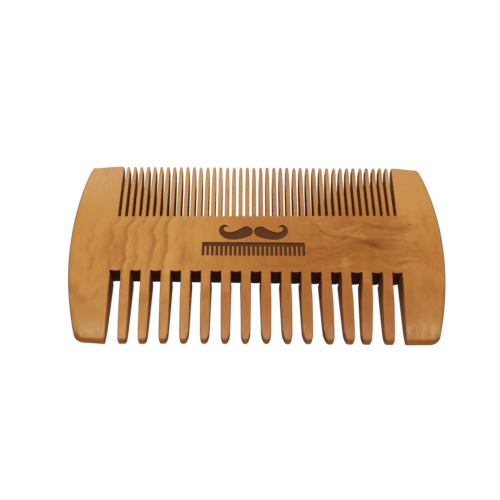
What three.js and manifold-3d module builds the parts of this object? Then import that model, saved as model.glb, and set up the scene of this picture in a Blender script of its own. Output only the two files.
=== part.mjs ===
// A double-sided beard comb, cut from one flat board of pearwood. Millimetres, +Z up.
// The comb lies on its back face. X runs along its length, the coarse teeth point to -Y and the
// fine teeth to +Y. The origin is the middle of the back face.
//
// The real comb is a single piece of wood: a blank planed to a lens section, sawn round its
// outline and then slotted from both long edges. Here each member of that piece is a solid of its
// own, cut from the same blank, and the teeth meet the spine face to face at their roots.
import * as THREE from "three";
import { mergeVertices } from "three/addons/utils/BufferGeometryUtils.js";
import Module from "manifold-3d";

// Blank: a board that is thickest along the middle and thins towards both rows of tips
const combLength = 100; // across the two bowed ends, at their widest
const combWidth = 53.5; // from the coarse tips to the fine tips
const combThickness = 7.4; // over the flat band along the middle
const tipThickness = 3.1; // at both rows of tips
const flatBandWidth = 9.6; // the band that keeps the full thickness
const taperPower = 1.65; // 1 is a straight taper, and more is a fuller curve
const noseRadius = 1.1; // rounding of the blank's two long edges
const endArcRadius = 103; // bow of the two ends, seen from above
const cornerRadius = 2.4; // the four corners of the outline
const guardInnerRound = 0.6; // the corner between a guard's tip and the first slot

// Coarse row, along the near edge
const coarseSlotCount = 15;
const coarseSlotWidth = 2.69;
const coarseToothWidth = 2.56;
const coarseToothLength = 19;
const coarseRowShift = -0.35; // the middle of the row, along X
const coarseEdge = 0.4; // eased long edges of a tooth
const coarseTipRound = 1.2; // the corner of a tip that faces the middle of the comb
const coarseTipOuterRound = 0.45; // the other corner, on the teeth next to the guards
const coarseTipReach = 1.7; // how far a corner reaches along the tooth, per unit across

// Fine row, along the far edge
const fineSlotCount = 41;
const fineSlotWidth = 0.72;
const fineToothWidth = 1.158;
const fineToothLength = 17.8;
const fineRowShift = 0.19;
const fineEdge = 0.2;
const finePointWidth = 0.62; // across a tooth where its rounded point starts
const finePointLength = 0.8;
const fineTaperLength = 7; // the stretch before the point, over which the tooth narrows

// Facets
const taperSteps = 6; // along the blank's taper, from the flat band to the nose
const curveSteps = 4; // round a corner
const bowSteps = 18; // along the bow of an end
const trim = 5; // how far a trimming prism stands past the blank's two faces

// Worked out from the sizes above
const halfWidth = combWidth / 2;
const halfThickness = combThickness / 2;
const halfTip = tipThickness / 2;
const halfFlat = flatBandWidth / 2;
const coarseRoot = coarseToothLength - halfWidth;
const fineRoot = halfWidth - fineToothLength;
const coarseRow = rowOf(coarseSlotCount, coarseSlotWidth, coarseToothWidth, coarseRowShift);
const fineRow = rowOf(fineSlotCount, fineSlotWidth, fineToothWidth, fineRowShift);

// A row of slots with a tooth between each two: its two ends and each tooth's two sides, along X
function rowOf(slotCount, slotWidth, toothWidth, shift) {
  const span = slotCount * slotWidth + (slotCount - 1) * toothWidth;
  const left = shift - span / 2;
  const teeth = [];
  for (let i = 0; i < slotCount - 1; i++) {
    const start = left + slotWidth + i * (slotWidth + toothWidth);
    teeth.push({ left: start, right: start + toothWidth });
  }
  return { left, right: left + span, teeth };
}

// Half the blank's thickness, at a distance from the comb's middle line
function halfThicknessAt(distance) {
  const along = Math.max(0, distance - halfFlat) / (halfWidth - halfFlat);
  return halfThickness - (halfThickness - halfTip) * along ** taperPower;
}

// The blank's section across its width: the shape's x is the comb's Y, and its y is the height
// above mid-thickness. One quarter is drawn, from the flat band out to the nose, and mirrored.
function blankSection() {
  const nose = Math.min(noseRadius, halfTip * 0.9);
  const noseStart = halfWidth - nose;
  const quarter = [];
  for (let i = 0; i < taperSteps; i++) {
    const distance = halfFlat + ((noseStart - halfFlat) * i) / taperSteps;
    quarter.push(new THREE.Vector2(distance, halfThicknessAt(distance)));
  }
  const corner = new THREE.QuadraticBezierCurve(
    new THREE.Vector2(noseStart, halfThicknessAt(noseStart)),
    new THREE.Vector2(halfWidth, halfTip),
    new THREE.Vector2(halfWidth, halfTip - nose),
  );
  quarter.push(...corner.getPoints(curveSteps));
  const mirrored = (sx, sy) => quarter.map(({ x, y }) => new THREE.Vector2(sx * x, sy * y));
  return new THREE.Shape([
    ...mirrored(1, -1),
    ...mirrored(1, 1).reverse(),
    ...mirrored(-1, 1),
    ...mirrored(-1, -1).reverse(),
  ]);
}

// A length of the blank between two places along X, with its end edges eased by a bevel
function blankGeometry(left, right, edge) {
  const geometry = new THREE.ExtrudeGeometry(blankSection(), {
    depth: right - left - 2 * edge,
    bevelEnabled: edge > 0,
    bevelThickness: edge,
    bevelSize: edge,
    bevelOffset: -edge,
    bevelSegments: 1,
  });
  const alongX = new THREE.Matrix4().makeBasis(
    new THREE.Vector3(0, 1, 0),
    new THREE.Vector3(0, 0, 1),
    new THREE.Vector3(1, 0, 0),
  );
  return geometry.applyMatrix4(alongX).translate(left + edge, 0, halfThickness);
}

// An outline seen from above, as a prism that stands past both faces of the blank
function prismGeometry(outline) {
  const depth = combThickness + 2 * trim;
  const options = { depth, bevelEnabled: false, curveSegments: curveSteps };
  return new THREE.ExtrudeGeometry(outline, options).translate(0, 0, -trim);
}

const wasm = await Module();
wasm.setup();

// A closed geometry as a manifold solid, with only its positions left
function solidOf(geometry) {
  geometry.deleteAttribute("normal");
  geometry.deleteAttribute("uv");
  const merged = mergeVertices(geometry);
  const vertProperties = merged.attributes.position.array;
  const triVerts = new Uint32Array(merged.index.array);
  return new wasm.Manifold(new wasm.Mesh({ numProp: 3, vertProperties, triVerts }));
}

// The solid as a geometry with flat faces
function geometryOf(solid) {
  const { vertProperties, triVerts } = solid.getMesh();
  const indexed = new THREE.BufferGeometry();
  indexed.setAttribute("position", new THREE.BufferAttribute(vertProperties, 3));
  indexed.setIndex(new THREE.BufferAttribute(triVerts, 1));
  const geometry = indexed.toNonIndexed();
  geometry.computeVertexNormals();
  return geometry;
}

const comb = new THREE.Group();
comb.name = "beard_comb";

// A member of the comb: what its outline cuts from a length of the blank
function addMember(name, colour, outline, left, right, edge) {
  const blank = solidOf(blankGeometry(left, right, edge));
  const solid = blank.intersect(solidOf(prismGeometry(outline)));
  const finish = { color: colour, roughness: 0.45, metalness: 0 };
  const mesh = new THREE.Mesh(geometryOf(solid), new THREE.MeshStandardMaterial(finish));
  mesh.name = name;
  comb.add(mesh);
}

// The spine: the band between the two rows of roots, from guard to guard
function addSpine() {
  const outline = new THREE.Shape();
  outline.moveTo(coarseRow.left, coarseRoot);
  outline.lineTo(coarseRow.right, coarseRoot);
  outline.lineTo(fineRow.right, fineRoot);
  outline.lineTo(fineRow.left, fineRoot);
  addMember("spine", 0xbd8448, outline, -combLength / 2, combLength / 2, 0);
}

// Points of an arc about a centre, from one angle to another, as seen on the right-hand end
function arcPoints(centreX, centreY, radius, from, to, steps) {
  const turns = [...Array(steps + 1).keys()].map((i) => from + ((to - from) * i) / steps);
  return turns.map((a) => [centreX + radius * Math.cos(a), centreY + radius * Math.sin(a)]);
}

// A guard: the wide end member past the last slot of both rows. Its outer side is bowed, and a
// corner arc joins the bow to each tip. side is 1 on the right and -1 on the left.
function addGuard(name, colour, side, coarseInner, fineInner) {
  const bowX = combLength / 2 - endArcRadius;
  const cornerY = halfWidth - cornerRadius;
  const meet = Math.asin(cornerY / (endArcRadius - cornerRadius));
  const cornerX = bowX + (endArcRadius - cornerRadius) * Math.cos(meet);
  const outer = [
    ...arcPoints(cornerX, -cornerY, cornerRadius, -Math.PI / 2, -meet, curveSteps),
    ...arcPoints(bowX, 0, endArcRadius, -meet, meet, bowSteps).slice(1, -1),
    ...arcPoints(cornerX, cornerY, cornerRadius, meet, Math.PI / 2, curveSteps),
  ];
  const outline = new THREE.Shape();
  outline.moveTo(side * outer[0][0], outer[0][1]);
  outer.slice(1).forEach(([x, y]) => outline.lineTo(side * x, y));
  outline.lineTo(fineInner + side * guardInnerRound, halfWidth);
  outline.quadraticCurveTo(fineInner, halfWidth, fineInner, halfWidth - guardInnerRound);
  outline.lineTo(fineInner, fineRoot);
  outline.lineTo(coarseInner, coarseRoot);
  outline.lineTo(coarseInner, guardInnerRound - halfWidth);
  outline.quadraticCurveTo(
    coarseInner,
    -halfWidth,
    coarseInner + side * guardInnerRound,
    -halfWidth,
  );
  addMember(name, colour, outline, -combLength / 2 - trim, combLength / 2 + trim, 0);
}

// Coarse teeth: parallel sides down to a tip with two rounded corners. In the middle of the row
// the two are alike, and towards the guards the corner that faces the guard gets squarer.
function addCoarseTeeth() {
  const tip = -halfWidth;
  const most = coarseToothWidth * 0.48;
  coarseRow.teeth.forEach(({ left, right }, i) => {
    const lean = (2 * i) / (coarseRow.teeth.length - 1) - 1;
    const outerRound = THREE.MathUtils.lerp(coarseTipRound, coarseTipOuterRound, Math.abs(lean));
    const leftRound = Math.min(most, lean < 0 ? outerRound : coarseTipRound);
    const rightRound = Math.min(most, lean < 0 ? coarseTipRound : outerRound);
    const outline = new THREE.Shape();
    outline.moveTo(left, coarseRoot);
    outline.lineTo(left, tip + leftRound * coarseTipReach);
    outline.quadraticCurveTo(left, tip, left + leftRound, tip);
    outline.lineTo(right - rightRound, tip);
    outline.quadraticCurveTo(right, tip, right, tip + rightRound * coarseTipReach);
    outline.lineTo(right, coarseRoot);
    const name = `coarse_tooth_${String(i + 1).padStart(2, "0")}`;
    addMember(name, 0xb97e43, outline, left, right, coarseEdge);
  });
}

// Fine teeth: parallel sides, then a taper to a small rounded point
function addFineTeeth() {
  const tip = halfWidth;
  const pointStart = tip - finePointLength;
  fineRow.teeth.forEach(({ left, right }, i) => {
    const middle = (left + right) / 2;
    const outline = new THREE.Shape();
    outline.moveTo(left, fineRoot);
    outline.lineTo(right, fineRoot);
    outline.lineTo(right, pointStart - fineTaperLength);
    outline.lineTo(middle + finePointWidth / 2, pointStart);
    outline.quadraticCurveTo(middle + finePointWidth / 2, tip, middle, tip);
    outline.quadraticCurveTo(middle - finePointWidth / 2, tip, middle - finePointWidth / 2, pointStart);
    outline.lineTo(left, pointStart - fineTaperLength);
    const name = `fine_tooth_${String(i + 1).padStart(2, "0")}`;
    addMember(name, 0xc49051, outline, left, right, fineEdge);
  });
}

addSpine();
addGuard("left_guard", 0xc18c4f, -1, coarseRow.left, fineRow.left);
addGuard("right_guard", 0xb67c44, 1, coarseRow.right, fineRow.right);
addCoarseTeeth();
addFineTeeth();

export default comb;
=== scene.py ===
# %% [markdown]
# # A double-sided beard comb, made of one piece of pearwood
#
# The real comb starts as a flat board. It is planed thinner towards both long edges, sawn round
# its outline, slotted from both edges, sanded until every edge is soft, and waxed. A laser then
# burns a small motif into the front face. The lesson follows the same order: first the frame that
# gives every place, then the outline, the rounded edge carried along it, the burnt motif, the two
# faces, and at the end the wood itself.

# %% Load the frame
import math

import bpy
import numpy as np
from mathutils import Matrix, Vector
from mathutils.geometry import delaunay_2d_cdt


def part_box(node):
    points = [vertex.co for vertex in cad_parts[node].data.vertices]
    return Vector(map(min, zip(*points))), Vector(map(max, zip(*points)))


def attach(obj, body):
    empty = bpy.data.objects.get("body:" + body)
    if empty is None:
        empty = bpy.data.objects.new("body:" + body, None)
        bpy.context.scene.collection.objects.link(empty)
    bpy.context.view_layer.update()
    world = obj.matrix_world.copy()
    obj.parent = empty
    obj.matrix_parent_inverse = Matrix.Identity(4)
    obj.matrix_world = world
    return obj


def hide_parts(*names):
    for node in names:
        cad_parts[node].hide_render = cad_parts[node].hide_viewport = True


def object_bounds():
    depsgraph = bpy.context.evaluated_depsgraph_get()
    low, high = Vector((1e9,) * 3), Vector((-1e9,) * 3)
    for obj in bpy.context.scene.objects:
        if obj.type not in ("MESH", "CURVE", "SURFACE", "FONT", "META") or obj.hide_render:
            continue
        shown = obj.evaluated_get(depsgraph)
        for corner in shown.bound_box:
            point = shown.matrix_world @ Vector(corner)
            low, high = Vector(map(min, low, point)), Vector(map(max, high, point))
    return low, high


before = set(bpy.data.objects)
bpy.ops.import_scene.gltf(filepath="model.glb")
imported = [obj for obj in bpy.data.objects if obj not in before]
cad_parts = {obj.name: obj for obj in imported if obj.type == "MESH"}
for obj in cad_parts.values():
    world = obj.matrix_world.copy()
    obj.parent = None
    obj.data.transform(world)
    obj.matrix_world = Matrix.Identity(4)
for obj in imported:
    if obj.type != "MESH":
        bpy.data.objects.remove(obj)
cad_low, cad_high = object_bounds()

print("nodes in the frame:", len(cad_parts))

# %% [markdown]
# ## Camera, light and floor
#
# The comb lies on a white table, and the camera looks down on it from in front. A long focal
# length keeps the far teeth nearly as large as the near ones. A soft box hangs a little in front
# of the zenith and lights the noses that tilt towards the viewer, and a weaker one behind the
# comb lights the far taper. The air gives the rest: its light is faint, but it looks white to
# the camera. The slots are deep, narrow and dark, so the table must not throw light back up
# through them. It is plain white, and the camera alone sees it.

# %% Camera
MM = 0.001  # every size below is in millimetres, and a mesh is scaled once, when it is made
LOOK_AT = (-1.87, 0.39, 3.7)
DISTANCE = 203.1
ELEVATION = math.radians(61.74)
TURN = math.radians(1.4)  # of the line of sight, from +Y towards +X
ROLL = math.radians(1.56)
FOCAL_LENGTH, SENSOR_WIDTH = 53.97, 36
NEAREST_SEEN = 10


def aim(thing, target, distance, elevation, turn, roll=0.0):
    """Places thing on the line through target at an elevation and a turn, looking back along it."""
    flat = math.cos(elevation)
    sight = Vector((math.sin(turn) * flat, math.cos(turn) * flat, -math.sin(elevation)))
    face = sight.to_track_quat("-Z", "Y").to_matrix().to_4x4()
    place = Matrix.Translation((Vector(target) - sight * distance) * MM)
    thing.matrix_world = place @ face @ Matrix.Rotation(roll, 4, "Z")


camera = bpy.data.objects.new("camera", bpy.data.cameras.new("camera"))
bpy.context.scene.collection.objects.link(camera)
camera.data.sensor_width = SENSOR_WIDTH
camera.data.lens = FOCAL_LENGTH
camera.data.clip_start = NEAREST_SEEN * MM
aim(camera, LOOK_AT, DISTANCE, ELEVATION, TURN, ROLL)
bpy.context.scene.camera = camera
print("camera at", [round(c / MM, 1) for c in camera.matrix_world.translation])

# %% Soft boxes and the air's own light


def soft_box(name, size, power, distance, elevation, turn):
    """A square area light that shines on the middle of the comb."""
    light = bpy.data.lights.new(name, "AREA")
    light.size = size * MM
    light.energy = power
    thing = bpy.data.objects.new(name, light)
    bpy.context.scene.collection.objects.link(thing)
    aim(thing, (0, 0, 0), distance, math.radians(elevation), math.radians(turn))


soft_box("overhead_box", size=260, power=2.12, distance=520, elevation=76, turn=0)
soft_box("back_box", size=260, power=0.9, distance=600, elevation=34, turn=180)

AIR_TINT = (1, 0.98, 0.95, 1)
AIR_LIGHT = 0.17  # what the comb gets of it. A camera ray gets 1

world = bpy.data.worlds.new("studio_air")
world.use_nodes = True
background = world.node_tree.nodes["Background"]
background.inputs["Color"].default_value = AIR_TINT
seen = world.node_tree.nodes.new("ShaderNodeLightPath")
strength = world.node_tree.nodes.new("ShaderNodeMath")
strength.operation = "MAXIMUM"
strength.inputs[1].default_value = AIR_LIGHT
world.node_tree.links.new(seen.outputs["Is Camera Ray"], strength.inputs[0])
world.node_tree.links.new(strength.outputs[0], background.inputs["Strength"])
bpy.context.scene.world = world
bpy.context.scene.view_settings.view_transform = "Standard"

# %% Floor
FLOOR_REACH = 1500


def plain_floor():
    """One square at the height that the comb lies on, with a plain white glow."""
    corners = np.array([(-1, -1, 0), (1, -1, 0), (1, 1, 0), (-1, 1, 0)]) * FLOOR_REACH * MM
    mesh = bpy.data.meshes.new("floor")
    mesh.from_pydata(corners.tolist(), [], [(0, 1, 2, 3)])
    white = bpy.data.materials.new("white_table")
    white.use_nodes = True
    shader = white.node_tree.nodes["Principled BSDF"]
    shader.inputs["Base Color"].default_value = (0, 0, 0, 1)
    shader.inputs["Specular IOR Level"].default_value = 0
    shader.inputs["Emission Color"].default_value = (1, 1, 1, 1)
    shader.inputs["Emission Strength"].default_value = 1
    mesh.materials.append(white)
    thing = bpy.data.objects.new("floor", mesh)
    bpy.context.scene.collection.objects.link(thing)
    thing.visible_diffuse = False
    thing.visible_glossy = False
    thing.visible_shadow = False
    return thing


plain_floor()
print("the floor reaches", FLOOR_REACH, "mm each way")

# %% [markdown]
# ## Where everything is
#
# The frame already holds each tooth, so the rows are read from it: the left and right side of
# each tooth, the line of the roots and the line of the tips. Only what a box can't tell is
# written here, such as how the board thins.

# %% Sizes read from the frame


def box_mm(node):
    """Lowest and highest corner of a node, as arrays in millimetres."""
    low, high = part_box(node)
    return np.array(low) / MM, np.array(high) / MM


def read_row(prefix):
    """Each tooth's left and right side, and the slot between two, for the nodes with a prefix."""
    boxes = [box_mm(name) for name in sorted(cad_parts) if name.startswith(prefix)]
    left = np.array([low[0] for low, high in boxes])
    right = np.array([high[0] for low, high in boxes])
    slot = left[1] - right[0]
    return {"left": left, "right": right, "slot": slot}


coarse = read_row("coarse_tooth")
fine = read_row("fine_tooth")
spine_low, spine_high = box_mm("spine")
coarse_root, fine_root = spine_low[1], spine_high[1]
half_length = cad_high[0] / MM
half_width = cad_high[1] / MM
half_thick = cad_high[2] / MM / 2
print("half sizes:", round(half_length, 2), round(half_width, 2), round(half_thick, 2))
print("slots:", round(float(coarse["slot"]), 2), round(float(fine["slot"]), 2))

# %% [markdown]
# ## The board
#
# Seen from its end, the board is a lens: a flat band along the middle, a gentle curve down to both
# long edges, and a round nose where the tips end. Its half thickness is a function of the
# distance from the middle line, so any point of either face gets its height from its place alone.

# %% Thickness of the board
HALF_TIP = 1.55  # half the thickness at both rows of tips
HALF_FLAT = 4.8  # half the band that keeps the full thickness
TAPER_POWER = 1.65
NOSE = 1.1  # radius that rounds both long edges of the board
SHOULDER, SHOULDER_LENGTH = 0.28, 4.5  # extra sanding on the coarse side: how deep, how far back


def nose_slope(y):
    """How far round the nose a place is: 0 before it, 1 at the very edge of the board."""
    return np.clip((np.abs(y) - half_width + NOSE) / NOSE, 0, 1)


def half_thickness(y):
    """Full in the flat band, less by a power of the distance past it, less by the square of the
    way down the shoulder, and at the end a quarter circle."""
    along = np.clip((np.abs(y) - HALF_FLAT) / (half_width - HALF_FLAT), 0, 1)
    lens = half_thick - (half_thick - HALF_TIP) * along**TAPER_POWER
    shoulder = np.clip((-y - half_width + SHOULDER_LENGTH) / SHOULDER_LENGTH, 0, 1)
    return lens - SHOULDER * shoulder**2 - NOSE * (1 - np.sqrt(1 - nose_slope(y) ** 2))


print("half thickness at roots:", np.round(half_thickness(np.array([coarse_root, fine_root])), 2))

# %% [markdown]
# ## The outline
#
# Seen from above, the comb is one closed line. It runs along the coarse row from left to right,
# up the right end, back along the fine row and down the left end. A row is the same stretch over
# and over: down one side of a tooth, round its tip, up the other side and across the next slot.
# So one stretch is worked out for all teeth at once, with the teeth as the rows of an array.
# Beside its place, each point says how it was finished:
#
# - ease: the radius of the sanded edge,
# - lip: how far the front edge of a slot's bottom stands out,
# - sawn: 1 deep in a slot, where the saw left the wood dark and shade is painted, and 0 outside,
# - flare: how far the back edge of a tooth's side stands out, as the slots narrow to the back.
#
# Hand sanding makes no two teeth alike, so each gets small seeded differences.

# %% Helpers for stretches of the outline
COLUMNS = 6  # x, y, ease, lip, sawn, flare
hand = np.random.default_rng(12)


def stretch(x, y, ease, lip=0.0, sawn=0.0, flare=0.0):
    """Points as an array whose last axis holds the six columns. All inputs broadcast."""
    return np.stack(np.broadcast_arrays(x, y, ease, lip, sawn, flare), axis=-1).astype(float)


def bent(start, corner, end, steps):
    """A quadratic curve: the corner pulls the line from start to end. Leaves out the start."""
    t = np.linspace(0, 1, steps + 1)[1:]
    return (1 - t) ** 2 * start + 2 * t * (1 - t) * corner + t**2 * end


def gentle(x):
    """From 0 to 1 with a level start and a level end."""
    x = np.clip(x, 0, 1)
    return x * x * (3 - 2 * x)


# %% The bottom of a slot, and how its influence fades up the walls
SANDED_IN, SANDED_MIDDLE = 0.35, 0.6  # shares of the ease, in a slot's corners and between them
SANDED_REACH = 2.5  # over which the ease grows back along a wall
BOTTOM_TURN = np.linspace(0, math.pi / 2, 4)


def wall_ease(s, ease):
    """Little at the bottom of a slot, where sandpaper hardly reaches, and full further out."""
    return ease * (SANDED_IN + (1 - SANDED_IN) * gentle(s / SANDED_REACH))


def slot_bottom(width, corner, ease, lip, steps=6):
    """A line across the slot with a quarter circle at each corner. The eased edge and the lip
    are widest in the middle of the slot and fall to the least at its corners. x goes from 0 to 1
    across the slot."""
    side_x, side_s = corner * (1 - np.cos(BOTTOM_TURN)), corner * (1 - np.sin(BOTTOM_TURN))
    middle = np.linspace(corner, width - corner, steps + 1)[1:-1]
    x = np.concatenate([side_x, middle, (width - side_x)[::-1]])
    s = np.concatenate([side_s, middle * 0, side_s[::-1]])
    across = 1 - (2 * x / width - 1) ** 2
    sanded = SANDED_IN + (SANDED_MIDDLE - SANDED_IN) * across
    return stretch(x / width, s, ease * sanded, lip * across, 1.0)


# %% [markdown]
# ### Coarse teeth
#
# A coarse tooth narrows a little on its way to the tip, and near its root the back edges of its
# sides stand out, because the saw cut less there. Its tip was shaped on a sander, one corner
# after the other, and at the ends of the row the corner that faces the nearer guard got less.
# Each corner is a quarter of an ellipse, longer along the tooth than across it, as a fingertip is.

# %% Sizes of a coarse tooth
COARSE_CORNER = 0.16  # in the bottom of a slot
COARSE_EASE = 0.42
COARSE_TIP_EASE = 0.14  # the nose of the board rounds the tip as well
TIP_REACH = 2.5  # over which the ease changes to what a tip has
# The saw's mark fades towards the tips, and with it the shade that is painted in the slots
SAWN_FADES = 0.9  # how much of the saw's mark is gone at the tips
# The corners of a tip, as widths across the tooth in the middle of the row, and how much
# narrower they get towards its ends: facing the nearer guard, and facing away from it on the
# left and on the right half of the row.
OUTER_ROUND, OUTER_LESS = 1.17, 0.72
LEFT_ROUND, LEFT_LESS = 1.35, 0.6
RIGHT_ROUND, RIGHT_LESS = 1.45, 0.36
ROUNDEST, ROUNDER = 10, 1.22  # one tooth was held longer on the sander
ROUND_SPREAD = (0.9, 1.03)  # from tooth to tooth, as a factor
CORNER_LENGTH = (1.5, 0.75)  # over its width, and how much that grows with the width
TIP_TURN = np.linspace(0, math.pi / 2, 10)[1:]
WALL_SHARE = np.linspace(0, 1, 19)[1:] ** 0.9  # stations up a wall, closer near the tip
ROOT_WIDER, TIP_NARROWER = 0.17, (0.2, 0.1)  # a tooth's sides, against their straight places
RIGHT_WIDER = 0.19  # the right half of the row was cut with a thinner saw
FLARE_LENGTH, FLARE_STARTS = 9, 1.2  # along a tooth: where the flare is over, where it is full
SHORTER, MIDDLE_SHORTER = 0.2, 0.12  # how far the teeth end short of the guards
SHORTER_SPREAD, SLANT_SPREAD = 0.12, 0.08
SLANT_OUT = 0.1  # the tips at both ends of the row lie a little further out
SLANTS = {0: 0.12, 10: 0.2, 11: 0.12, 12: -1.18, 13: -0.68}  # teeth that the saw cut aslant
STEPPED = {12: 0.35, 13: 0.4}  # and where it entered too far to the right
print("coarse teeth:", len(coarse["left"]), "cut aslant:", len(SLANTS))

# %% How the finish changes along a wall


def tip_fade(s, tip, ease, tip_ease):
    """The ease along a wall, and then down to what the tip itself has."""
    return tip_ease + (wall_ease(s, ease) - tip_ease) * gentle((tip - s) / TIP_REACH)


def sawn_fade(s, reach):
    """The saw's mark along a wall, and the shade painted with it: 1 at the root, and less by an
    even slope to the tips.
    """
    return 1 - SAWN_FADES * s / reach


# %% Shape of the coarse teeth


def quarter(side_x, tip_x, start_s, tip_s):
    """A quarter of an ellipse from a tooth's side to its tip, without its first point."""
    return (
        tip_x + (side_x - tip_x) * np.cos(TIP_TURN),
        start_s + (tip_s - start_s) * np.sin(TIP_TURN),
    )


def coarse_tooth(left, right, reach):
    """Both sides and the tip of every tooth. lean is -1 at the left guard and 1 at the right."""
    count = len(left)
    lean = np.linspace(-1, 1, count)[:, None]
    outer = OUTER_ROUND - OUTER_LESS * np.abs(lean)
    inner = np.where(lean < 0, LEFT_ROUND - LEFT_LESS * lean**2, RIGHT_ROUND - RIGHT_LESS * lean**2)
    inner[ROUNDEST] *= ROUNDER
    loose = hand.uniform(*ROUND_SPREAD, (2, count, 1))
    rounds = np.where(lean < 0, outer, inner), np.where(lean < 0, inner, outer)
    tip = reach - SHORTER - MIDDLE_SHORTER * (1 - lean**2)
    tip = tip - hand.uniform(0, SHORTER_SPREAD, (count, 1))
    slant = hand.uniform(-SLANT_SPREAD, SLANT_SPREAD, (count, 1)) + SLANT_OUT * lean
    slant[list(SLANTS), 0] = list(SLANTS.values())
    stepped = np.zeros((count, 1))
    stepped[list(STEPPED), 0] = list(STEPPED.values())
    sides, tips = [], []
    wider = RIGHT_WIDER * gentle(6 * lean + 1), RIGHT_WIDER * gentle(2 * lean)  # left side, right
    two_sides = zip((left, right), (-1, 1), rounds, loose, wider, TIP_NARROWER)
    for edge, outward, round_here, factor, more, narrower in two_sides:
        corner = round_here * factor
        start = tip - corner * (CORNER_LENGTH[0] + CORNER_LENGTH[1] * corner)
        s = COARSE_CORNER + (start - COARSE_CORNER) * WALL_SHARE
        root_wider = ROOT_WIDER + more
        at_back = root_wider - (ROOT_WIDER + narrower) * s / reach
        in_front = at_back - root_wider * (1 - gentle(s / FLARE_LENGTH))
        flare = at_back * gentle(s / FLARE_STARTS) - in_front
        x = edge + stepped + outward * in_front
        ease = tip_fade(s, tip, COARSE_EASE, COARSE_TIP_EASE)
        sides.append(stretch(x + slant * s / reach, s, ease, 0, sawn_fade(s, reach), flare))
        tip_x, tip_s = quarter(x[:, -1:], x[:, -1:] - outward * corner, start, tip)
        tip_ease = tip_fade(tip_s, tip, COARSE_EASE, COARSE_TIP_EASE)
        tips.append(stretch(tip_x + slant * tip_s / reach, tip_s, tip_ease, 0, 1 - SAWN_FADES))
    return np.concatenate([sides[0], tips[0], tips[1][:, ::-1], sides[1][:, ::-1]], axis=1)


# %% [markdown]
# ### Fine teeth
#
# A fine tooth draws in over its last third, slowly at first, and ends in a small round point. Its
# sides are one function of the way along the tooth, and the point is two quadratic curves.

# %% Sizes of a fine tooth
FINE_CORNER = 0.12
FINE_EASE = 0.2
FINE_TIP_EASE = 0.11
POINT_WIDTH = 0.9  # across a tooth where its round point starts
POINT_LENGTH = 1.7
POINT_STEPS = 5
TAPER_LENGTH = 4.6
TAPER_POWER_FINE = 1.4
FINE_LEAN = 0.26  # the tips at the right end of the row lie a little further out
FINE_SHORTER, FINE_DRIFT, FINE_THINNER = 0.4, 0.06, 0.04  # spreads from tooth to tooth
FINE_STATIONS = np.linspace(0, 1, 15)[1:]
FINE_SAWN_FADES, FINE_TIP_SAWN = 0.7, 0.2
print("fine teeth:", len(fine["left"]))

# %% Shape of the fine teeth


def fine_tooth(left, right, reach):
    """Sides that stay parallel and then draw in by a power of the way, and a round point."""
    count = len(left)
    tip = reach - hand.uniform(0, FINE_SHORTER, (count, 1))
    lean = np.linspace(-1, 1, count)[:, None]
    drift = hand.uniform(-FINE_DRIFT, FINE_DRIFT, (count, 1)) + FINE_LEAN * np.clip(lean, 0, 1)
    thin = hand.uniform(0, FINE_THINNER, (2, count, 1))
    left, right = left + thin[0], right - thin[1]
    start = tip - POINT_LENGTH
    s = FINE_CORNER + (start - FINE_CORNER) * FINE_STATIONS
    along = np.clip((s - start + TAPER_LENGTH) / TAPER_LENGTH, 0, 1) ** TAPER_POWER_FINE
    middle, half = (left + right) / 2, (right - left) / 2
    half = half + (POINT_WIDTH / 2 - half) * along
    ease = tip_fade(s, tip, FINE_EASE, FINE_TIP_EASE)
    dark = 1 - FINE_SAWN_FADES * s / reach
    left_side = stretch(middle + drift * along - half, s, ease, 0, dark)
    right_side = stretch(middle + drift * along + half, s, ease, 0, dark)[:, ::-1]
    end = middle + drift
    low, high = end - POINT_WIDTH / 2, end + POINT_WIDTH / 2
    left_x, left_s = bent(low, low, end, POINT_STEPS), bent(start, tip, tip, POINT_STEPS)
    right_x, right_s = bent(end, high, high, POINT_STEPS), bent(tip, tip, start, POINT_STEPS)
    tip_x = np.concatenate([left_x, right_x[:, :-1]], axis=1)
    tip_s = np.concatenate([left_s, right_s[:, :-1]], axis=1)
    point = stretch(tip_x, tip_s, FINE_TIP_EASE, 0, FINE_TIP_SAWN)
    return np.concatenate([left_side, point, right_side], axis=1)


# %% [markdown]
# ### A whole row
#
# The row starts at the left guard's tip, goes down its inner wall, across the first slot, and on
# over every tooth to the right guard's tip. It is worked out with s = 0 at the roots. The real
# roots don't lie quite straight, because the slots were cut by hand-fed saws, so the line of
# roots may be turned a little when s becomes y.

# %% One row of teeth and slots
GUARD_ROUND = 0.6
GUARD_TIP_EASE = 0.3
GUARD_STATIONS = np.linspace(0, 1, 19)[1:]


def row_line(row, root, tip_line, tooth, corner, ease, lip, skew, guards):
    """The row from guard tip to guard tip, left to right. Each s is stretched between the root
    line, which rises by skew per millimetre of x, and the line of the tips. guards gives how
    far right of its place each guard's wall starts and ends."""
    left, right, slot = row["left"], row["right"], row["slot"]
    reach = abs(tip_line - root)
    s = corner + (reach - GUARD_ROUND - corner) * GUARD_STATIONS
    wall = stretch(0, s, tip_fade(s, reach, ease, GUARD_TIP_EASE), 0, sawn_fade(s, reach))
    left_wall, right_wall = wall[::-1].copy(), wall.copy()
    left_off, right_off = [at_root + (at_tip - at_root) * s / reach for at_root, at_tip in guards]
    left_wall[:, 0] = left[0] - slot + left_off[::-1]
    right_wall[:, 0] = right[-1] + slot + right_off
    teeth = tooth(left[:, None], right[:, None], reach)
    starts = np.append(left_wall[0, 0], teeth[:, -1, 0])
    ends = np.append(teeth[:, 0, 0], right_wall[0, 0])
    bottoms = np.repeat(slot_bottom(slot, corner, ease, lip)[None], len(starts), axis=0)
    bottoms[..., 0] = starts[:, None] + bottoms[..., 0] * (ends - starts)[:, None]
    over = np.concatenate([teeth, bottoms[1:]], axis=1).reshape(-1, COLUMNS)
    line = np.concatenate([left_wall, bottoms[0], over, right_wall])
    root_here = root + skew * line[:, 0]
    line[:, 1] = root_here + (tip_line - root_here) * line[:, 1] / reach
    return line


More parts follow.
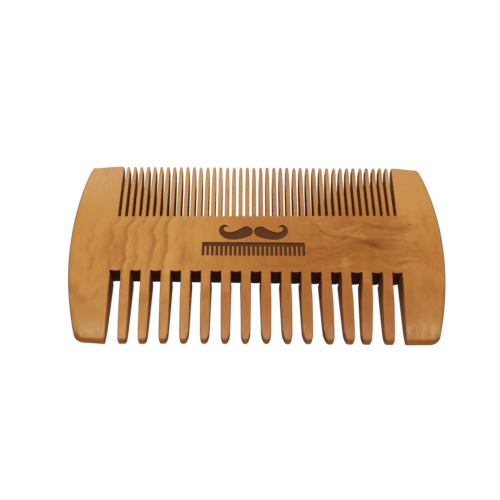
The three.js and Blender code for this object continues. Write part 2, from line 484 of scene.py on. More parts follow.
COARSE_LIP, FINE_LIP = 0.34, 0.05
coarse_cut = {"corner": COARSE_CORNER, "ease": COARSE_EASE, "lip": COARSE_LIP, "skew": -0.0045}
fine_cut = {"corner": FINE_CORNER, "ease": FINE_EASE, "lip": FINE_LIP, "skew": 0.0095}
coarse_guards, fine_guards = ((0, -0.2), (0.3, -0.05)), ((0, 0), (0, 0.35))
coarse_line = row_line(
    coarse, coarse_root, -half_width, coarse_tooth, guards=coarse_guards, **coarse_cut
)
fine_line = row_line(fine, fine_root, half_width, fine_tooth, guards=fine_guards, **fine_cut)
print("points along the rows:", len(coarse_line), len(fine_line))

# %% [markdown]
# ### The bowed ends
#
# Each end is a long, shallow arc that meets the tip lines in a small round corner. The corner's
# centre is one corner radius inside both the arc and the tip line, which fixes it. The four
# corners were shaped by hand on a sander, so each has its own radius, and the left guard's tip
# lines fall away a little towards them.

# %% One end, from the coarse row up to the fine row
END_EASE = 1.6
BOW_SOFTENS = 1.3  # how soon the ease is full on the way up the bow
INNER_STEPS, FLAT_STEPS, TURN_STEPS, BOW_STEPS = 4, 10, 12, 26


def half_end(inner, radius, corner, slope, soft):
    """The lower half of the right end: the guard's inner corner, its tip line, its outer corner
    and the bow up to the middle. The tip line rises by the slope on its way out. The corner's
    ease is soft, and it grows to END_EASE on the way up the bow."""
    bow_x = half_length - radius
    fillet_y = half_width - corner
    fillet_x = bow_x + math.sqrt((radius - corner) ** 2 - fillet_y**2)
    angle = math.atan2(fillet_y, fillet_x - bow_x)
    inner_x = bent(inner, inner, inner + GUARD_ROUND, INNER_STEPS)
    inner_y = bent(GUARD_ROUND - half_width, -half_width, -half_width, INNER_STEPS)
    flat_x = np.linspace(inner + GUARD_ROUND, fillet_x, FLAT_STEPS + 1)[1:]
    turn = np.linspace(-math.pi / 2, -angle, TURN_STEPS + 1)[1:]
    bow = np.linspace(-angle, 0, BOW_STEPS + 1)[1:]
    corner_x, corner_y = fillet_x + corner * np.cos(turn), corner * np.sin(turn) - fillet_y
    bow_line = bow_x + radius * np.cos(bow), radius * np.sin(bow)
    x = np.concatenate([inner_x, flat_x, corner_x, bow_line[0]])
    y = np.concatenate([inner_y, 0 * flat_x - half_width, corner_y, bow_line[1]])
    rise = gentle((x - inner) / (fillet_x - inner))
    upwards = gentle(BOW_SOFTENS * (1 - np.abs(y) / half_width))
    ease = GUARD_TIP_EASE + (soft - GUARD_TIP_EASE) * rise + (END_EASE - soft) * upwards
    return stretch(x, y * (1 - slope * rise / half_width), ease)


TURN_OVER_X, TURN_OVER_Y = [-1, 1, 1, 1, 1, 1], [1, -1, 1, 1, 1, 1]  # for the six columns


def end_of_comb(coarse_inner, fine_inner, near, far):
    """The right end, from the bottom to the top. The upper half is a lower half turned over.
    near and far give each half's bow radius, corner radius, slope and soft."""
    low = half_end(coarse_inner, *near)
    high = half_end(fine_inner, *far)[-2::-1] * TURN_OVER_Y
    return np.concatenate([low, high])


RIGHT_NEAR, RIGHT_FAR = (98, 2.9, 0.05, 1.6), (99, 1.75, 0.45, 1.4)
LEFT_NEAR, LEFT_FAR = (97, 3.0, 0.3, 1.6), (104, 0.8, 0.75, 0.55)
right_end = end_of_comb(coarse_line[-1, 0], fine_line[-1, 0], RIGHT_NEAR, RIGHT_FAR)
left_end = end_of_comb(-coarse_line[0, 0], -fine_line[0, 0], LEFT_NEAR, LEFT_FAR)
left_end = left_end[::-1] * TURN_OVER_X
outline = np.concatenate([coarse_line, right_end, fine_line[::-1], left_end])
steps = np.linalg.norm(np.roll(outline[:, :2], -1, axis=0) - outline[:, :2], axis=1)
print("points round the comb:", len(outline), "shortest step:", round(float(steps.min()), 3))

# %% [markdown]
# ## The rounded edge
#
# Every edge of the comb was sanded round. The section of that edge is a profile: a quarter circle
# down from the front face, the straight wall, and a quarter circle in to the back face. The
# profile is carried along the outline, and the radius is each point's own ease. One more ring,
# the hem, lies just inside on the face, so that the face's shading stays flat up to the edge.
#
# Each point also gets marks that the finish will read later: eased is 1 in the middle of a
# rounded edge, sawn is 1 deep in a slot, end_grain is 1 where the surface faces along the fibres
# (at the tips and in the bottoms of the slots), and burnt is for the motif.

# %% Which way is inward
QUARTER = np.linspace(math.pi / 2, 0, 6)  # from the face down to the wall
WALL_RINGS = 2
HEM = 0.35  # width of the ring on the face, as a share of the ease
HEM_MOST = 0.15
LEAST_EASE = 0.06
THINNEST_WALL = 0.05  # half of it, where the nose is
BACK_LESS = 0.75  # how much less the back was sanded where the saw went
BACK_FOOT, BACK_SKEW = 0.18, 0.007  # how far the back edge of a slot's bottom stands out
TIP_TALLER, TALL_OVER = 3.0, 3.2  # at the tips the rounding is taller than it is wide

places, lip, sawn, flare = outline[:, :2], outline[:, 3], outline[:, 4], outline[:, 5]
ease = np.clip(half_thickness(places[:, 1]) - THINNEST_WALL, LEAST_EASE, outline[:, 2])
near_tip = gentle((np.abs(places[:, 1]) - half_width + TALL_OVER) / TALL_OVER)
tall = np.minimum(half_thickness(places[:, 1]) - THINNEST_WALL, ease * (1 + TIP_TALLER * near_tip))
ahead = np.roll(places, -1, axis=0) - places
ahead /= np.linalg.norm(ahead, axis=1, keepdims=True)
heading = ahead + np.roll(ahead, 1, axis=0)
heading /= np.linalg.norm(heading, axis=1, keepdims=True)
inward = np.stack([-heading[:, 1], heading[:, 0]], axis=1)
print("sanded edge, least and most:", round(float(ease.min()), 2), round(float(ease.max()), 2))

# %% The profile, ring by ring
MARKS = ("eased", "sawn", "end_grain", "burnt")


def ring(side, angle, hem=0.0):
    """A ring of the profile on the front (side 1) or the back (side -1). The angle goes from a
    quarter turn at the face to 0 at the wall. In from the outline it moves by ease * (1 - cos),
    and below the face that is there by tall * (1 - sin). The front stands out by the lip. The
    back was sanded less in the slots and stands out by the foot at their bottoms and by the
    flare at their sides. The last columns are the marks."""
    kept = 1 if side == 1 else 1 - BACK_LESS * sawn
    eased_by = ease * kept
    foot = (BACK_FOOT + BACK_SKEW * places[:, 0]) * np.sqrt(lip / COARSE_LIP)
    stands_out = lip if side == 1 else foot + flare
    inset = eased_by * (1 - math.cos(angle)) + hem - stands_out
    place = places + inward * inset[:, None]
    z = half_thick + side * (half_thickness(place[:, 1]) - tall * kept * (1 - math.sin(angle)))
    share = angle / QUARTER[0]
    eased = 4 * share * (1 - share) + 0 * z
    wall_end = np.abs(inward[:, 1]) * math.cos(angle)
    end_grain = np.maximum(wall_end, nose_slope(place[:, 1]))
    return np.column_stack([place, z, eased, sawn * (1 - share), end_grain, 0 * z])


def half_profile(side):
    """The rings of one side, from the hem on the face down to the wall."""
    hem = np.minimum(ease * HEM, HEM_MOST)
    return [ring(side, QUARTER[0], hem)] + [ring(side, angle) for angle in QUARTER]


front, back = half_profile(1), half_profile(-1)
down = np.linspace(0, 1, WALL_RINGS + 2)[1:-1]
wall = [front[-1] + (back[-1] - front[-1]) * share for share in down]
profile = np.stack(front + wall + back[::-1])
print("rings and points in each:", profile.shape[:2])

# %% [markdown]
# ## The burnt motif
#
# A laser burnt a small plain motif a quarter of a millimetre into the front face: a curled
# moustache above a little comb. Each of its outlines is a function of an inset, so that the same
# function gives the rim at the face and the smaller line at the bottom of the burn.

# %% Moustache
BURN_DEPTH = 0.25
BURN_WALL = 0.08  # the burn narrows by this on its way down
BURN_RIM = 0.14  # on its floor, along the wall, where the laser turned round and burnt darker
CURL_LENGTH = 12.2
CURL_START = (0.5, 4.9)
HEADING, BEND, CURL, CURL_POWER = -0.62, 0.75, 3.9, 4  # in radians: at the start, even, at last
SWELL_HALF, SWELL_OVER, SWELL_POWER, LEAST_HALF = 1.7, 0.16, 0.75, 0.13
CURL_POINTS, BLUNT_CLOSER = 70, 1.5  # the power draws points to the blunt start
MOTIF_OFF = -1.0


def half_moustache(inset):
    """A ribbon on a line whose heading grows by the fourth power of the way, so that it runs
    down, out and round into a curl. The place is the running sum of the heading's steps. The
    half width swells fast at the nose and then falls by a power to the curl's point."""
    spread = np.linspace(0, 1, CURL_POINTS) ** BLUNT_CLOSER
    first, last = 2 * inset, CURL_LENGTH - 3 * inset
    way = (first + (last - first) * spread) / CURL_LENGTH
    turn = HEADING + BEND * way + CURL * way**CURL_POWER
    step = np.diff(way, prepend=0) * CURL_LENGTH
    x = CURL_START[0] + np.cumsum(np.cos(turn) * step)
    y = CURL_START[1] + np.cumsum(np.sin(turn) * step)
    swell = np.sqrt(1 - (1 - np.clip(way / SWELL_OVER, 0, 1)) ** 2)
    half = SWELL_HALF * swell * (1 - way) ** SWELL_POWER + LEAST_HALF - inset
    side = np.stack([-np.sin(turn), np.cos(turn)], axis=1) * half[:, None]
    middle = np.stack([x, y], axis=1)
    return np.concatenate([middle - side, (middle + side)[::-1]])


print("half a moustache reaches", np.round(half_moustache(0.0).max(axis=0), 1))


# %% Little comb
MOTIF_TEETH = 23
MOTIF_HALF = 13.7
MOTIF_TOP, MOTIF_BAR, MOTIF_TIP = 0.75, -0.5, -3.3
MOTIF_FILL = 0.6  # share of the pitch that a tooth takes


def little_comb(inset):
    """A bar with square teeth: the four corners of each tooth for all teeth at once, and then
    the bar's two upper corners. The inset moves every line inwards."""
    pitch = 2 * MOTIF_HALF / (MOTIF_TEETH - 1 + MOTIF_FILL)
    left = -MOTIF_HALF + pitch * np.arange(MOTIF_TEETH) + inset
    right = left + pitch * MOTIF_FILL - 2 * inset
    bar, tip = MOTIF_BAR + inset, MOTIF_TIP + inset
    x = np.stack([left, left, right, right], axis=1)
    y = np.broadcast_to([bar, tip, tip, bar], x.shape)
    teeth = np.stack([x.ravel(), y.ravel()], axis=1)[1:-1]
    top = [[right[-1], MOTIF_TOP - inset], [left[0], MOTIF_TOP - inset]]
    return np.concatenate([teeth, top])


def motif(inset):
    """All closed lines of the motif, moved a little to the left as it was burnt."""
    half = half_moustache(inset)
    return [line + [MOTIF_OFF, 0] for line in (half, (half * [-1, 1])[::-1], little_comb(inset))]


rims, floors, cores = motif(0.0), motif(BURN_WALL), motif(BURN_WALL + BURN_RIM)
print("motif points:", sum(len(line) for line in rims))

# %% [markdown]
# ## The two faces
#
# The innermost ring of the edge is filled with triangles. A constrained Delaunay triangulation
# does that for any outline: it keeps the ring and the motif's lines as edges, uses free points
# in between, and makes the triangles as even as it can. The free points stand in a honeycomb,
# which is closer on the noses of the board, where the face curves fast.

# %% Free points on a face
WIDE_STEP = 1.0
NOSE_STEP = 0.28
NOSE_ROWS = np.array([0.3, 0.42, 0.56, 0.72, 0.9, 1.1, 1.35])  # in from the tips
WIDE_CLEAR, NOSE_CLEAR, MOTIF_CLEAR = 0.42, 0.12, 0.15  # gaps to the lines that are there


def inside(points, loop):
    """True where a line to the right of the point crosses the loop an odd number of times."""
    start, end = loop, np.roll(loop, -1, axis=0)
    x, y = points[:, :1], points[:, 1:]
    spans = (start[:, 1] > y) != (end[:, 1] > y)
    rise = np.where(end[:, 1] == start[:, 1], 1, end[:, 1] - start[:, 1])
    crossing = start[:, 0] + (y - start[:, 1]) / rise * (end[:, 0] - start[:, 0])
    return ((spans & (x < crossing)).sum(axis=1) % 2) == 1


def far_from(points, others, gap):
    """True where the nearest of the others is more than the gap away."""
    squared = ((points[:, None, :] - others[None, :, :]) ** 2).sum(axis=2)
    return squared.min(axis=1) > gap**2


def staggered(rows, step):
    """Points along each row at a step, and every second row is moved by half a step."""
    columns = np.arange(-half_length, half_length, step)
    shift = np.where(np.arange(len(rows)) % 2, step / 2, 0)
    x = columns[None, :] + shift[:, None]
    return np.stack([x.ravel(), np.repeat(rows, len(columns))], axis=1)


# A honeycomb over the comb, and closer rows where the board turns down into its noses
wide = staggered(np.arange(-half_width, half_width, WIDE_STEP * math.sqrt(0.75)), WIDE_STEP)
close = staggered(np.concatenate([half_width - NOSE_ROWS, NOSE_ROWS - half_width]), NOSE_STEP)
wide = wide[np.abs(wide[:, 1]) < half_width - NOSE_ROWS[-1] - WIDE_STEP / 2]
hem_line = profile[0][:, :2]
free = np.concatenate(
    [
        wide[inside(wide, hem_line) & far_from(wide, hem_line, WIDE_CLEAR)],
        close[inside(close, hem_line) & far_from(close, hem_line, NOSE_CLEAR)],
    ]
)
print("free points on a face:", len(free))

# %% Fill a face


def loop_edges(first, count):
    """Index pairs of a closed loop that starts at an index."""
    here = np.arange(count)
    return np.stack([first + here, first + (here + 1) % count], axis=1)


def fill(loops, loose):
    """Triangles over all the loops' points and the loose points, turned counterclockwise."""
    points = np.concatenate(loops + [loose])
    firsts = np.cumsum([0] + [len(loop) for loop in loops[:-1]])
    edges = np.concatenate([loop_edges(a, len(loop)) for a, loop in zip(firsts, loops)])
    inner_only, tolerance = 1, 1e-6
    places_out, _, faces, *_ = delaunay_2d_cdt(
        points.tolist(), edges.tolist(), [], inner_only, tolerance
    )
    if len(places_out) != len(points):
        raise RuntimeError("the outline crosses itself")
    return np.array(faces)


motif_lines = np.concatenate(rims + floors + cores)
in_motif = sum(inside(free, line) for line in rims) > 0
front_free = free[~in_motif & far_from(free, motif_lines, MOTIF_CLEAR)]
front_loops = [hem_line] + rims + floors + cores
front_faces = fill(front_loops, front_free)
back_line = profile[-1][:, :2]
back_faces = fill([back_line], free)
print("triangles, front and back:", len(front_faces), len(back_faces))

# %% Heights and marks of the faces' own points


def face_points(points, side, drop, burnt):
    """Points on a face with their height and marks."""
    z = half_thick + side * (half_thickness(points[:, 1]) - drop)
    zero = 0 * z
    return np.column_stack([points, z, zero, zero, nose_slope(points[:, 1]), zero + burnt])


AT_RIM, AT_FLOOR, AT_CORE = 0.25, 0.5, 1.0  # the burnt mark, from outside in
rim_points = face_points(np.concatenate(rims), 1, 0, AT_RIM)
floor_points = face_points(np.concatenate(floors), 1, BURN_DEPTH, AT_FLOOR)
core_points = face_points(np.concatenate(cores), 1, BURN_DEPTH, AT_CORE)
unburnt_points = face_points(front_free, 1, 0, 0)
front_points = np.concatenate([rim_points, floor_points, core_points, unburnt_points])
back_points = face_points(free, -1, 0, 0)
print("own points, front and back:", len(front_points), len(back_points))

# %% [markdown]
# ## One closed mesh
#
# The rings are joined by four-sided faces, and the two filled faces close the ends. The comb is
# one piece of wood, so it becomes one object, which stands for every part of the frame.

# %% Put the mesh together
ring_count, around = profile.shape[:2]
SHARP_FROM = math.radians(40)  # such as round the motif


def joined_rings():
    """Four-sided faces between each ring and the next, turned outwards."""
    row = np.arange(ring_count - 1)[:, None] * around
    here = np.arange(around)[None, :]
    after = (here + 1) % around
    corners = [row + here, row + around + here, row + around + after, row + after]
    return np.stack(corners, axis=-1).reshape(-1, 4)


def moved(faces, ring_first, own_first, reverse):
    """Indices of a filled face: its first points are a ring, the rest are its own points."""
    index = np.where(faces < around, ring_first + faces, own_first + faces - around)
    return index[:, ::-1] if reverse else index


ring_vertices = ring_count * around
front_index = moved(front_faces, 0, ring_vertices, False)
back_first = ring_vertices + len(front_points)
back_index = moved(back_faces, (ring_count - 1) * around, back_first, True)
everything = np.concatenate([profile.reshape(-1, profile.shape[2]), front_points, back_points])
faces = joined_rings().tolist() + front_index.tolist() + back_index.tolist()

mesh = bpy.data.meshes.new("comb")
mesh.from_pydata((everything[:, :3] * MM).tolist(), [], faces)
for column, mark in enumerate(MARKS):
    values = mesh.attributes.new(mark, "FLOAT", "POINT")
    values.data.foreach_set("value", everything[:, 3 + column].astype(np.float32))
mesh.shade_smooth()
mesh.set_sharp_from_angle(angle=SHARP_FROM)
comb = bpy.data.objects.new("comb", mesh)
bpy.context.scene.collection.objects.link(comb)
print("vertices:", len(mesh.vertices), "faces:", len(mesh.polygons))
print("valid as made:", not mesh.validate(verbose=True))

# %% Where it belongs
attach(comb, "root")
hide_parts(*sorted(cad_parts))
print("members that the comb stands for:", len(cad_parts))

# %% [markdown]
# ## The wood
#
# Pear is a close, pinkish-gold wood. Its fibres run along the teeth, so that a tooth bends and
# doesn't snap. Everything that can be seen in it is painted by calculation from the place on the
# comb: growth lines, a swirl where a branch began, mottling, fibres and pores. Wax, hands and the
# saw added the rest: darker end grain at the tips, pale worn edges and dark slot walls. Painted
# light and shade lie over these: shade on the coarse noses and deep in the slots, highlights on
# the rounded edges, a sheen near the guard tips and on the far taper, and light near the coarse
# tips.
#
# A shader calculates with nodes. Writing them as formulas is far easier to read, so one small
# class wraps a node's socket: adding or multiplying two of them adds the node that does it.

# %% Formulas for shaders


class Field:
    """A value, vector or colour that varies over the wood. Its operators add the nodes."""

    tree = None  # the material that is being made

    def __init__(self, socket):
        self.socket = socket

    @classmethod
    def node(cls, kind, settings, inputs, output=0):
        """Adds one node: its settings first, then a value or a link for each socket."""
        made = cls.tree.nodes.new(kind)
        for name, value in settings.items():
            if name == "stops":
                elements = made.color_ramp.elements
                elements[0].position, elements[1].position = value[0][0], value[-1][0]
                for position, _ in value[1:-1]:
                    elements.new(position)
                in_order = sorted(elements, key=lambda element: element.position)
                for stop, (_, shade) in zip(in_order, value):
                    stop.color = (shade, shade, shade, 1)
            else:
                setattr(made, name, value)
        for name, value in inputs.items():
            if isinstance(value, Field):
                cls.tree.links.new(value.socket, made.inputs[name])
            else:
                made.inputs[name].default_value = value
        return cls(made.outputs[output])

    @classmethod
    def join(cls, operation, first, second):
        """Math for two values, Vector Math as soon as one side is a vector."""
        sides = [first, second]
        kinds = [s.socket.type if isinstance(s, Field) else type(s).__name__ for s in sides]
        if "VECTOR" not in kinds and "tuple" not in kinds:
            return cls.node("ShaderNodeMath", {"operation": operation}, dict(enumerate(sides)))
        sides = [(s,) * 3 if isinstance(s, (int, float)) else s for s in sides]
        return cls.node("ShaderNodeVectorMath", {"operation": operation}, dict(enumerate(sides)))

    def __add__(self, other):
        return self.join("ADD", self, other)

    def __sub__(self, other):
        return self.join("SUBTRACT", self, other)

    def __mul__(self, other):
        return self.join("MULTIPLY", self, other)

    def __truediv__(self, other):
        return self.join("DIVIDE", self, other)

    def __radd__(self, other):
        return self.join("ADD", other, self)

    def __rsub__(self, other):
        return self.join("SUBTRACT", other, self)

    def __rmul__(self, other):
        return self.join("MULTIPLY", other, self)

    def of(self, operation):
        """One of Math's functions of a single value."""
        return self.node("ShaderNodeMath", {"operation": operation}, {0: self})

    def split(self):
        """The three parts of a vector, as fields."""
        parts = self.node("ShaderNodeSeparateXYZ", {}, {0: self}).socket.node
        return [Field(socket) for socket in parts.outputs]


# %% Shapes that a field can have


def noise(at, detail=2.0, roughness=0.5, distortion=0.0):
    """Smooth noise around one half. Its grain is 1 unit of the place it is read at."""
    inputs = {"Vector": at, "Scale": 1.0, "Detail": detail, "Roughness": roughness}
    inputs["Distortion"] = distortion
    return Field.node("ShaderNodeTexNoise", {"noise_dimensions": "3D"}, inputs)


def between(field, low, high):
    """From 0 at low to 1 at high, level at both, and it may fall as well as rise."""
    settings = {"interpolation_type": "SMOOTHSTEP", "clamp": True}
    inputs = {"Value": field, "From Min": low, "From Max": high}
    return Field.node("ShaderNodeMapRange", settings, inputs)


def hill(field, width):
    """1 where the field is 0, falling on both sides as exp(-(field / width) squared)."""
    share = field * (1 / width)
    return (share * share * -1.0).of("EXPONENT")


def window(field, low, high, soft):
    """1 from low to high, with soft ends."""
    return between(field, low - soft, low + soft) * between(field, high + soft, high - soft)


def mix(first, second, share):
    """A share of the second colour over the first."""
    settings = {"data_type": "RGBA", "clamp_factor": True}
    return Field.node("ShaderNodeMix", settings, {0: share, 6: first, 7: second}, output=2)


def paint(colour, *layers):
    """Lays each layer's colour over what is there, by the layer's share."""
    for over, share in layers:
        colour = mix(colour, over, share)
    return colour


def tone(red, green, blue):
    """A colour given as on a screen, from 0 to 255, as the linear colour that shaders use."""
    value = np.array([red, green, blue]) / 255
    linear = np.where(value <= 0.04045, value / 12.92, ((value + 0.055) / 1.055) ** 2.4)
    return (*linear.tolist(), 1.0)


# %% Start the material, and read the place and the marks
wood = bpy.data.materials.new("waxed_pearwood")
wood.use_nodes = True
Field.tree = wood.node_tree
shader = wood.node_tree.nodes["Principled BSDF"]
mesh.materials.append(wood)

at = Field.node("ShaderNodeTexCoord", {}, {}, output="Object") * (1 / MM)
x, y = at.split()[:2]
eased_mark, sawn_mark, end_mark, burnt_mark = [
    Field.node("ShaderNodeAttribute", {"attribute_name": mark}, {}, output="Fac") for mark in MARKS
]
print("marks that the wood reads:", *MARKS)

# %% [markdown]
# ### Ground colour
#
# The board is honey-coloured on the left and at the fine teeth, and redder on the right. Soft
# steps across it and a slow mottling choose the place between three tones. A fourth and a fifth,
# deep and pale, are for the figure.

# %% Ground colour
HONEY, GOLD = tone(199, 140, 70), tone(184, 120, 54)
RUSSET, DEEP = tone(166, 97, 34), tone(142, 76, 24)
PALE = tone(214, 160, 88)

slow = noise(at * (0.07, 0.045, 0.07), detail=3)
mottle = noise(at * (0.46, 0.2, 0.46), detail=5, roughness=0.6, distortion=0.45)
redder = between(x, -28.0, 8.0) * (1 - 0.75 * between(x, 33.0, 43.0)) * 0.58
redder = redder + between(y, 14.0, -10.0) * 0.12 - between(y, 7.0, 14.0) * 0.25
redder = redder + (slow - 0.5) * 0.9 + (mottle - 0.5) * 0.7
low_belly = hill(x - 21.0, 12.0) * hill(y + 3.5, 3.2)
ground = paint(
    HONEY,
    (GOLD, between(redder, 0.0, 0.45)),
    (RUSSET, between(redder, 0.3, 1.05)),
    (RUSSET, low_belly * 0.75),
)
print("nodes for the ground:", len(wood.node_tree.nodes))

# %% [markdown]
# ### Growth lines
#
# In the left third the board was cut across its growth rings. Each shows as a thin dark line
# with pale wood on its right, which darkens slowly towards the next line. The lines lean to the
# right near the fine teeth and sway a little on the way down.

# %% Growth lines
LINES = (
    (-44.0, 0.35), (-39.2, 0.55), (-35.0, 0.95), (-31.9, 0.6),
    (-28.0, 0.75), (-24.4, 1.0), (-19.2, 0.45), (-17.0, 0.35),
)  # place and strength of each
LINES_FROM, LINES_TO = -48.0, -13.0
BEFORE_LINE, AFTER_LINE = 1.05, 0.75
PLAIN, RISE, PEAK, DIP = 0.5, 0.2, 0.5, 0.4  # plain wood, before a line, at it, just after it
SWAY, SWAY_LENGTH = 0.1, 5.6

in_spine = window(y, -9.5, 9.5, 3.0)
sway = ((y - 0.6) * (2 * math.pi / SWAY_LENGTH)).of("SINE") * SWAY * in_spine
lean = between(y, 4.5, 9.5) * 1.7
blur = noise(at * (1.1, 0.35, 1.1), detail=3) - 0.5
swayed = x - sway - lean - (noise(at * (0.1, 0.2, 0.1), detail=1) - 0.5) * 3.4 - blur * 0.75


def line_stops():
    """A slow rise before each line, at the line the most, pale just after it, and from there an
    even slope up to the rise before the next line."""
    span = LINES_TO - LINES_FROM
    stops = [(0.0, PLAIN)]
    for place, strength in LINES:
        start = (place - LINES_FROM) / span
        stops += [
            (start - BEFORE_LINE / span, PLAIN + RISE * strength),
            (start, PLAIN + PEAK * strength),
            (start + AFTER_LINE / span, PLAIN - DIP * strength),
        ]
    return stops + [(1.0, PLAIN)]


along_lines = (swayed - LINES_FROM) * (1 / (LINES_TO - LINES_FROM))
rings = Field.node("ShaderNodeValToRGB", {"stops": line_stops()}, {0: along_lines}) - PLAIN
broken = (0.5 + 0.9 * noise(at * (0.2, 0.13, 0.2), detail=2)) * (0.35 + 0.65 * in_spine)
rings = rings * broken
patch = hill(swayed + 19.6, 1.0) * window(y, -5.5, 0.0, 1.5) * 0.7
print("growth lines:", len(LINES))

# %% [markdown]
# ### The swirl
#
# Right of the middle a branch once began. The lines flow round that place: one arches over it
# and is darkest there, one comes down from the fine teeth, one rises from the coarse teeth, and
# on the far side they turn down along the guard. Each is a stroke: a hill across a curve
# y = f(x) or x = f(y), with soft ends along it.

# %% Lines of the swirl
sx = x + (noise(at * (0.25, 0.3, 0.25), detail=3) - 0.5) * 2.6
sy = y + (noise(at * (0.25, 0.3, 0.25) + (9.3, 4.1, 0), detail=3) - 0.5) * 2.6
over_branch = hill(sx - 27.5, 5.0) * 2.2 - 0.9


def stroke(across, width, along, ends, soft, strength=1.0):
    """A hill of a width across a line, from one end to the other along it."""
    return hill(across, width) * window(along, *ends, soft) * strength


arch = stroke(sy - over_branch, 0.8, sx, (17, 34), 2.0) * (0.35 + 0.55 * hill(sx - 30.8, 3.8))
second_arch = stroke(sy - 1.6, 0.5, sx, (28, 38), 2.0, 0.45)
flush = stroke(sy - over_branch + 0.8, 2.2, sx, (15, 41), 5.0)
fall = 2.0 + 6.5 * ((sx - 13.9) * (-1 / 3.4)).of("EXPONENT")
falling = stroke(sy - fall, 0.5, sx, (13.5, 25), 1.5, 0.6)
short_fall = stroke(sy - 4.8 + (sx - 8.9) * 0.68, 0.35, sx, (9.5, 13.5), 1.0, 0.3)
rising = stroke(sy - (between(sx, 8.0, 28.0) * 5.6 - 6.3), 0.4, sx, (1.0, 24.0), 3.0, 0.35)
high_streak = stroke(sy - 6.0 + (sx - 30.0) * 0.08, 0.8, sx, (29, 42), 2.0, 0.55)
below = (6.0 - sy) * (6.0 - sy)
bend_one = stroke(sx - 38.6 - below * 0.05, 0.5, sy, (-9.0, 5.0), 2.0, 0.18)
bend_two = stroke(sx - 41.5 - below * 0.035, 0.45, sy, (-9.0, 3.0), 2.0, 0.18)
swirl = arch + second_arch + falling + short_fall + rising + high_streak + bend_one + bend_two
knot = hill(sx - 31.0, 2.8) * hill(sy - 0.1, 1.2) * 0.7
knot = knot + hill(sx - 30.2, 1.5) * hill(sy + 3.2, 1.2) * 0.4
ray_fan = noise(at * (0.45, 1.7, 0.45) + sy * (0.3, 0, 0), detail=3)
pale_rays = hill(x - 26.0, 6.0) * hill(y - 3.0, 2.0) * between(ray_fan, 0.48, 0.66) * 0.5
pale_rays = pale_rays + hill(x - 23.2, 1.2) * hill(y + 5.0, 2.2) * between(ray_fan, 0.45, 0.6) * 0.5

# %% [markdown]
# ### Fibres, pores and scratches
#
# Close up, pear shows fibres as fine streaks along the teeth, with pores as tiny darker dashes.
# Both are noise that is stretched along y. A few pale scratches are left from combing.

# %% Fibres, pores, scratches
fibre = noise(at * (2.6, 0.14, 2.6), detail=4, roughness=0.6)
fine_fibre = noise(at * (7.5, 0.5, 7.5), detail=3)
pore = between(noise(at * (6.0, 1.6, 6.0), detail=1), 0.66, 0.76)
scratch_noise = noise(at * (0.5, 3.2, 0.5) + (3.1, 0, 0), detail=1)
tooth_scratch = hill(x - 28.3 + (y + 9.8) * 0.3, 1.0) * hill(y + 9.8, 1.1)
tooth_scratch = tooth_scratch * between(scratch_noise, 0.5, 0.58)

# %% The grain that flows round the branch, and all layers in turn
flow_place = Field.node("ShaderNodeCombineXYZ", {}, {0: sx * 0.1, 1: (sy - over_branch) * 0.8})
flow = noise(flow_place, detail=4, roughness=0.65)
in_swirl = window(x, 12.0, 44.0, 5.0) * window(y, -7.5, 9.0, 3.0)

OLD_KNOT, FIBRE_DARK, FIBRE_PALE = tone(116, 58, 20), tone(120, 62, 22), tone(226, 176, 112)
colour = paint(
    ground,
    (DEEP, between(rings, 0.0, 0.5) * 0.5 + patch * 0.35),
    (PALE, between(rings, 0.0, -0.4) * 0.42),
    (PALE, pale_rays + tooth_scratch * 0.5),
    (RUSSET, flush * 0.5),
    (DEEP, between(flow, 0.5, 0.72) * in_swirl * 0.6),
    (PALE, between(flow, 0.5, 0.28) * in_swirl * 0.3),
    (OLD_KNOT, swirl * 0.62 + knot * 0.5),
    (FIBRE_DARK, between(fibre, 0.5, 0.8) * 0.08 + pore * 0.16),
    (FIBRE_PALE, between(fibre, 0.5, 0.22) * 0.06),
    (FIBRE_DARK, between(fine_fibre, 0.5, 0.8) * 0.06),
)
print("nodes for ground and figure:", len(wood.node_tree.nodes))

# %% [markdown]
# ### What was done to the wood, and painted light and shade
#
# The teeth darken in patches halfway down, where hair oil soaks in. End grain drinks more wax,
# so the noses on the coarse side turn orange-brown, and as they face down towards the viewer,
# painted shade darkens them too. Next to them the guards get a pale painted sheen. The saw left
# the slot walls dark, painted shade darkens them more, and their bottoms are painted nearly black
# as shade. Towards the coarse tips the walls and the noses are painted lighter again, as painted
# light. Rounded edges are pale and smooth, partly worn and partly a painted highlight. The burn
# is brown, with a darker rim and the fine lines that the laser drew.

# %% Hair oil, hands, and painted sheen near the guard tips and on the far taper
OILED, DULL, PAINTED_SHEEN = tone(160, 88, 34), tone(150, 92, 42), tone(214, 178, 126)
oil_patches = noise(at * (0.33, 0.2, 0.33) + (7.7, 0, 0), detail=2)
soaked = hill(y + 14.5, 3.6) * between(oil_patches, 0.42, 0.62)
handled = hill(x - 28.3, 1.7) * hill(y + 18.5, 6.0)
guard = between(x.of("ABSOLUTE"), 33.0, 38.0)
streaks = between(noise(at * (1.5, 0.22, 1.5) + (5.1, 0, 0), detail=3), 0.32, 0.68)
# Painted sheen: pale streaks just above the noses, mostly on the guards
guard_tip_sheen = window(y, -25.2, -21.6, 1.3) * streaks
guard_tip_sheen = guard_tip_sheen * (0.06 + 0.26 * guard + 0.06 * between(x, 30, 40))
# Painted sheen on the far taper: paler at the left end, and a little paler over all of it
far_taper_sheen = hill(x + 46.0, 9.0) * between(y, 8.0, 25.0) * (0.2 + 0.35 * streaks)
far_taper_sheen = far_taper_sheen + between(y, 9.0, 16.0) * 0.05
colour = paint(
    colour,
    (OILED, soaked * 0.42 + handled * 0.5),
    (DULL, between(y, -11.0, -20.0) * 0.2),
    (PAINTED_SHEEN, guard_tip_sheen + far_taper_sheen),
)
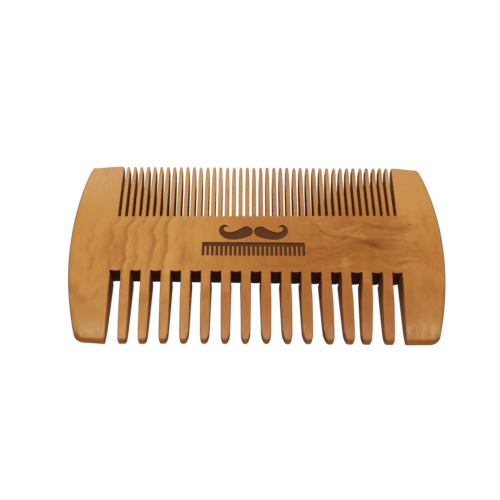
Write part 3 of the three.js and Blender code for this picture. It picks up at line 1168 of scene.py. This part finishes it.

# %% End grain and the saw's mark, with painted shade and painted light
END_GRAIN_AND_SHADE, SAWN_AND_SHADED, PAINTED_ROOT_SHADE = tone(166, 92, 36), tone(158, 84, 38), tone(72, 22, 4)
EDGE_HIGHLIGHT_AND_WEAR, PAINTED_TIP_LIGHT = tone(222, 166, 100), tone(218, 134, 62)
# Darker end grain. On the coarse side the noses face down towards the viewer, so this is painted
# shade there as well
end_grain_and_shade = between(end_mark + (mottle - 0.5) * 0.6, 0.02, 0.4) * between(y, 12.0, 0.0)
# The slot walls: darker for the saw's mark, and for painted shade deep in the slots
walls = between(sawn_mark, 0.0, 0.7)
sawn_here = 1 + (y - coarse_root) * (SAWN_FADES / (half_width + coarse_root))  # on a wall
# Painted light: the slot walls and the noses near the coarse tips are lighter again
tip_lit_walls = between(sawn_mark / sawn_here, 0.4, 0.95) * between(y, -11.0, -18.0)
tip_lit_noses = between(end_mark, 0.7, 1.0) * between(y, -16.0, -23.0)
colour = paint(
    colour,
    (END_GRAIN_AND_SHADE, end_grain_and_shade * 0.85),
    (SAWN_AND_SHADED, walls * 0.85),
    # Painted shade: the bottoms of the slots nearly black
    (PAINTED_ROOT_SHADE, between(walls * end_mark, 0.1, 0.6)),
    # Pale rounded edges: wear, and a painted highlight
    (EDGE_HIGHLIGHT_AND_WEAR, eased_mark * (1 - walls) * (1 - end_grain_and_shade) * 0.22),
    (PAINTED_TIP_LIGHT, (tip_lit_walls + tip_lit_noses) * 0.8),
)

# %% The burn
LASER_STEP = 0.42
CHAR, CHAR_DARK = tone(100, 54, 24), tone(52, 24, 10)
laser_lines = ((y * (2 * math.pi / LASER_STEP)).of("SINE") * 0.5 + 0.5) * 0.5
burnt = between(burnt_mark, AT_RIM, AT_RIM + 0.04)
rim = between(burnt_mark, 0.85, 0.6)
colour = mix(colour, mix(CHAR, CHAR_DARK, laser_lines + rim * 0.8), burnt)
print("nodes for the whole colour:", len(wood.node_tree.nodes))

# %% Shine and relief
roughness = 0.38 + (mottle - 0.5) * 0.16 + walls * 0.3 + burnt * 0.4 - eased_mark * 0.04
relief = fibre * 0.35 + fine_fibre * 0.35 - pore * 0.7 + mottle * 0.8 + burnt * laser_lines * 2.0
RELIEF_DEPTH = 0.025  # from the lowest to the highest relief
bump_inputs = {"Strength": 0.35, "Distance": RELIEF_DEPTH * MM, "Height": relief}
bump = Field.node("ShaderNodeBump", {}, bump_inputs)
for socket, field in (("Base Color", colour), ("Roughness", roughness), ("Normal", bump)):
    wood.node_tree.links.new(field.socket, shader.inputs[socket])
shader.inputs["Specular IOR Level"].default_value = 0.16
shader.inputs["Coat Weight"].default_value = 0.04
shader.inputs["Coat Roughness"].default_value = 0.25
print("nodes in the wood:", len(wood.node_tree.nodes))
